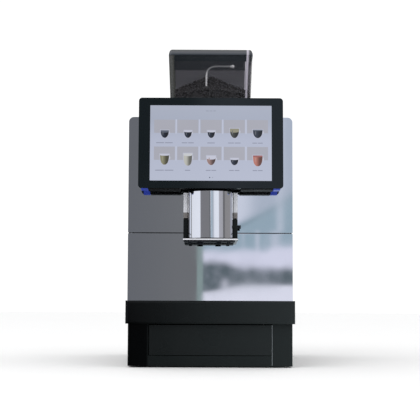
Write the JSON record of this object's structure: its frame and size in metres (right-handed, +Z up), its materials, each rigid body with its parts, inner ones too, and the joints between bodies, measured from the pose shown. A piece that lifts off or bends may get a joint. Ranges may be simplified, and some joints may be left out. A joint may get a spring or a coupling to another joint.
{
  "type": "hot coffee vending machine",
  "caption": "Table-top bean-to-cup coffee machine with a touch screen, a chrome height-adjustable spout, a mirror front, a smoked bean hopper, a drip tray and a grounds drawer.",
  "frame": {"origin": "under the centre of the whole object, on the surface it stands on", "axes": "+Z up, -Y towards the user, +X to the user's right"},
  "size_m": [0.3, 0.5, 0.596],
  "materials": {
    "mirror": "mirror-tinted gloss",
    "graphite": "fine-textured satin powder coat",
    "satin_black": "satin",
    "matt_black": "fine-grained matt",
    "rubber": "matt",
    "screen_glass": "gloss",
    "display": "lit display under gloss glass",
    "light_bar": "translucent satin",
    "chrome": "polished",
    "silver": "satin",
    "smoked": "smoked transparent gloss",
    "smoked_lid": "smoked gloss",
    "beans": "roasted, lightly oiled",
    "steel": "plain",
    "brass": "machined",
    "copper": "drawn tube",
    "insulation": "foam jacket",
    "white_plastic": "satin",
    "clear_tank": "clear"
  },
  "bodies": {
    "machine": {"base_plinth": "satin_black", "foot_front_left": "rubber", "foot_front_right": "rubber", "foot_rear_left": "rubber", "foot_rear_right": "rubber", "side_panel_left": "graphite", "side_panel_right": "graphite", "rear_panel": "graphite", "top_cover": "graphite", "splash_panel": "mirror", "chassis_frame": "steel", "grinder_housing": "matt_black", "grinder_motor": "steel", "grounds_chute": "matt_black", "brew_frame": "steel", "brew_chamber": "white_plastic", "spindle_motor": "steel", "boiler": "insulation", "water_pipe": "copper", "pump": "brass", "control_box": "graphite", "fan_housing": "matt_black", "power_inlet": "matt_black"},
    "front_door": {"door_glass": "mirror", "door_frame": "matt_black", "door_hinge_rod": "steel", "spout_rail": "chrome", "screen_bezel": "screen_glass", "lcd_panel": "display", "screen_housing": "matt_black", "screen_bracket": "matt_black", "light_bar_left": "light_bar", "light_bar_right": "light_bar"},
    "spout": {"spout_carriage": "satin_black", "spout_cover": "chrome", "spout_trim": "silver", "nozzle_block": "satin_black", "spout_cheek_left": "silver", "spout_cheek_right": "silver", "spout_grip_left": "satin_black", "spout_grip_right": "satin_black", "coffee_nozzle_left": "steel", "coffee_nozzle_right": "steel", "milk_port": "satin_black"},
    "hopper": {"hopper_base": "satin_black", "hopper_bin": "smoked", "coffee_beans": "beans"},
    "lid": {"hopper_lid": "smoked_lid"},
    "shut_off": {"bean_gate": "chrome"},
    "tray": {"drip_tray": "satin_black"},
    "grid": {"drip_grid": "matt_black"},
    "drawer": {"grounds_drawer": "satin_black"},
    "burr": {"cone_burr": "steel"},
    "piston": {"brew_piston": "white_plastic"},
    "spindle": {"brew_spindle": "brass"},
    "tank": {"water_tank": "clear_tank"},
    "tank_cap": {"tank_lid": "matt_black"},
    "rotor": {"fan_rotor": "matt_black"},
    "rocker": {"power_switch": "rubber"}
  },
  "joints": [
    {"name": "door_swing", "type": "hinge", "parent": "machine", "child": "front_door", "pos_m": [-0.143, -0.149, 0.33], "axis": [0, 0, -1], "range_deg": [0, 100]},
    {"name": "spout_height", "type": "slide", "parent": "front_door", "child": "spout", "axis": [0, 0, -1], "range_m": [0, 0.062]},
    {"name": "hopper_lift", "type": "slide", "parent": "machine", "child": "hopper", "axis": [0, 0, 1], "range_m": [0, 0.12]},
    {"name": "lid_lift", "type": "slide", "parent": "hopper", "child": "lid", "axis": [0, 0, 1], "range_m": [0, 0.05]},
    {"name": "gate_turn", "type": "hinge", "parent": "hopper", "child": "shut_off", "pos_m": [-0.008, -0.048, 0.5], "axis": [0, 0, 1], "range_deg": [-40, 40]},
    {"name": "tray_slide", "type": "slide", "parent": "machine", "child": "tray", "axis": [0, -1, 0], "range_m": [0, 0.11]},
    {"name": "grid_lift", "type": "slide", "parent": "tray", "child": "grid", "axis": [0, 0, 1], "range_m": [0, 0.03]},
    {"name": "drawer_slide", "type": "slide", "parent": "machine", "child": "drawer", "axis": [0, -1, 0], "range_m": [0, 0.24]},
    {"name": "burr_spin", "type": "hinge", "parent": "machine", "child": "burr", "pos_m": [-0.008, -0.048, 0.38], "axis": [0, 0, 1], "continuous": true},
    {"name": "spindle_turn", "type": "hinge", "parent": "machine", "child": "spindle", "pos_m": [0.026, -0.098, 0.16], "axis": [0, 0, 1], "range_deg": [0, 2250]},
    {"name": "piston_lift", "type": "slide", "parent": "machine", "child": "piston", "axis": [0, 0, 1], "range_m": [0, 0.058]},
    {"name": "tank_lift", "type": "slide", "parent": "machine", "child": "tank", "axis": [0, 0, 1], "range_m": [0, 0.3]},
    {"name": "tank_cap_open", "type": "hinge", "parent": "tank", "child": "tank_cap", "pos_m": [0.0575, 0.244, 0.457], "axis": [-1, 0, 0], "range_deg": [0, 80]},
    {"name": "fan_spin", "type": "hinge", "parent": "machine", "child": "rotor", "pos_m": [-0.084, 0.234, 0.346], "axis": [0, 1, 0], "continuous": true},
    {"name": "switch_rock", "type": "hinge", "parent": "machine", "child": "rocker", "pos_m": [-0.0785, 0.244, 0.1075], "axis": [-1, 0, 0], "range_deg": [0, 16]}
  ],
  "couplings": [
    {"joint": "piston_lift", "follows": "spindle_turn", "m_per_rad": 0.0012732}
  ]
}
